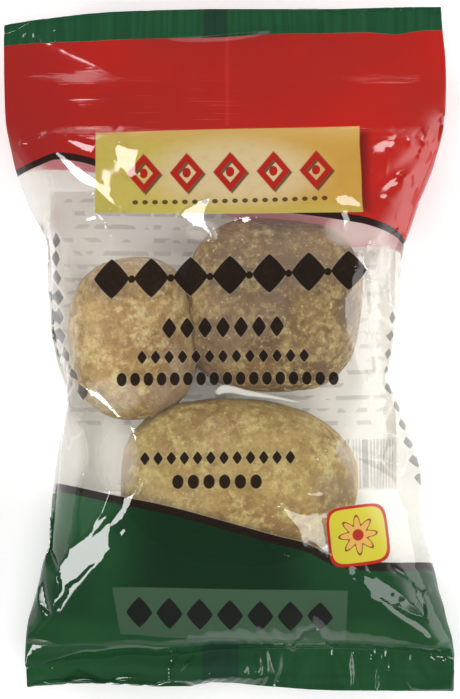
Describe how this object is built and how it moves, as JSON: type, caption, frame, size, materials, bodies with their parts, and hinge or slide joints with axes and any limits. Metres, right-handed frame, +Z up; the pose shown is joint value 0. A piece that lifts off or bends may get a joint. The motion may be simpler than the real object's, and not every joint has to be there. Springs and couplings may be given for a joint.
{
  "type": "bag of jaggery lumps",
  "caption": "Sealed clear film pillow bag holding rough golden jaggery lumps, with printed colour bands at both ends, lying on its back.",
  "frame": {"origin": "centre of the bounding box, on the surface that the bag lies on", "axes": "+Z up out of the bag's front face, +Y along the bag towards its header seal, +X to the right as the front is read"},
  "size_m": [0.1844, 0.2796, 0.0598],
  "materials": {
    "film": "clear printed film over golden brown jaggery"
  },
  "bodies": {
    "root": {"bag": "film"}
  },
  "joints": []
}
